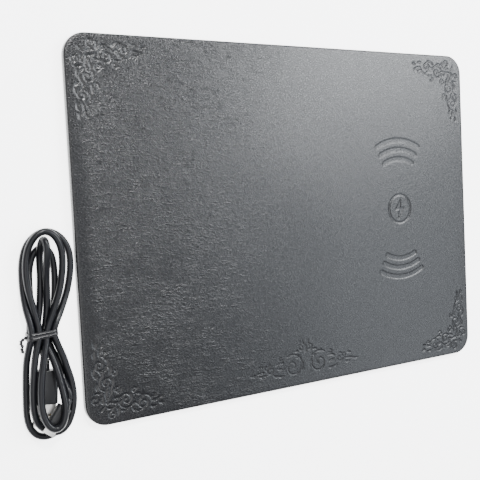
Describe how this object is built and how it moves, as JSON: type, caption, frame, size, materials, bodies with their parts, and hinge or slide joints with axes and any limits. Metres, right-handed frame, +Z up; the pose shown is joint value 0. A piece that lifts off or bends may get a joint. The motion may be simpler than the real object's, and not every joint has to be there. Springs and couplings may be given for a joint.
{
  "type": "wireless charging pad",
  "caption": "Thin leather-covered desk mat with a charging coil under pressed marks in one half, and its loose cable folded into a tied hank beside it.",
  "frame": {"origin": "centre of the pad's underside, on the surface that the pad lies on", "axes": "+X along the pad's long side towards the charging half, +Y across it towards the edge with the socket, +Z up out of the pad's face"},
  "size_m": [0.3347, 0.2221, 0.014],
  "materials": {
    "cover_leather": "fine pebbled grain, satin",
    "fibre_board": "raw pressed fibre",
    "base_rubber": "matt, non-slip",
    "litz_copper": "varnished copper",
    "adhesive": "matt",
    "ferrite": "matt ceramic",
    "sensor_coating": "gloss bead",
    "amber_film": "gloss film",
    "board_green": "gloss solder mask",
    "chip_black": "matt moulded",
    "capacitor_tan": "matt ceramic",
    "led_white": "gloss lens",
    "bright_steel": "bright plated",
    "insulator_black": "matt",
    "insulator_white": "matt",
    "gold_contact": "polished",
    "bezel_plastic": "matt",
    "cable_jacket": "glossy soft jacket",
    "tie_plastic": "satin ribbon over wire",
    "grip_plastic": "fine satin moulding"
  },
  "bodies": {
    "pad": {"top_cover": "cover_leather", "core_board": "fibre_board", "base_sheet": "base_rubber", "transmit_coil": "litz_copper", "coil_adhesive": "adhesive", "ferrite_shield": "ferrite", "coil_leads": "litz_copper", "temperature_sensor": "sensor_coating", "insulating_film": "amber_film", "circuit_board": "board_green", "controller_chip": "chip_black", "bridge_transistors": "chip_black", "resonant_capacitors": "capacitor_tan", "input_capacitors": "capacitor_tan", "input_choke": "ferrite", "chip_resistors": "chip_black", "status_led": "led_white", "usb_socket_shell": "bright_steel", "usb_socket_tongue": "insulator_black", "usb_socket_contacts": "gold_contact", "port_bezel": "bezel_plastic"},
    "cable": {"cable_hank": "cable_jacket", "usb_lead": "cable_jacket", "micro_lead": "cable_jacket", "twist_tie": "tie_plastic", "usb_plug_grip": "grip_plastic", "usb_plug_shell": "bright_steel", "usb_plug_tongue": "insulator_white", "usb_plug_contacts": "gold_contact", "micro_plug_grip": "grip_plastic", "micro_plug_shell": "bright_steel", "micro_plug_tongue": "insulator_black", "micro_plug_contacts": "gold_contact", "micro_plug_latches": "bright_steel"}
  },
  "joints": [
    {"name": "cable_slide", "type": "slide", "parent": "pad", "child": "cable", "axis": [-1, 0, 0], "range_m": [0, 0.15]}
  ]
}
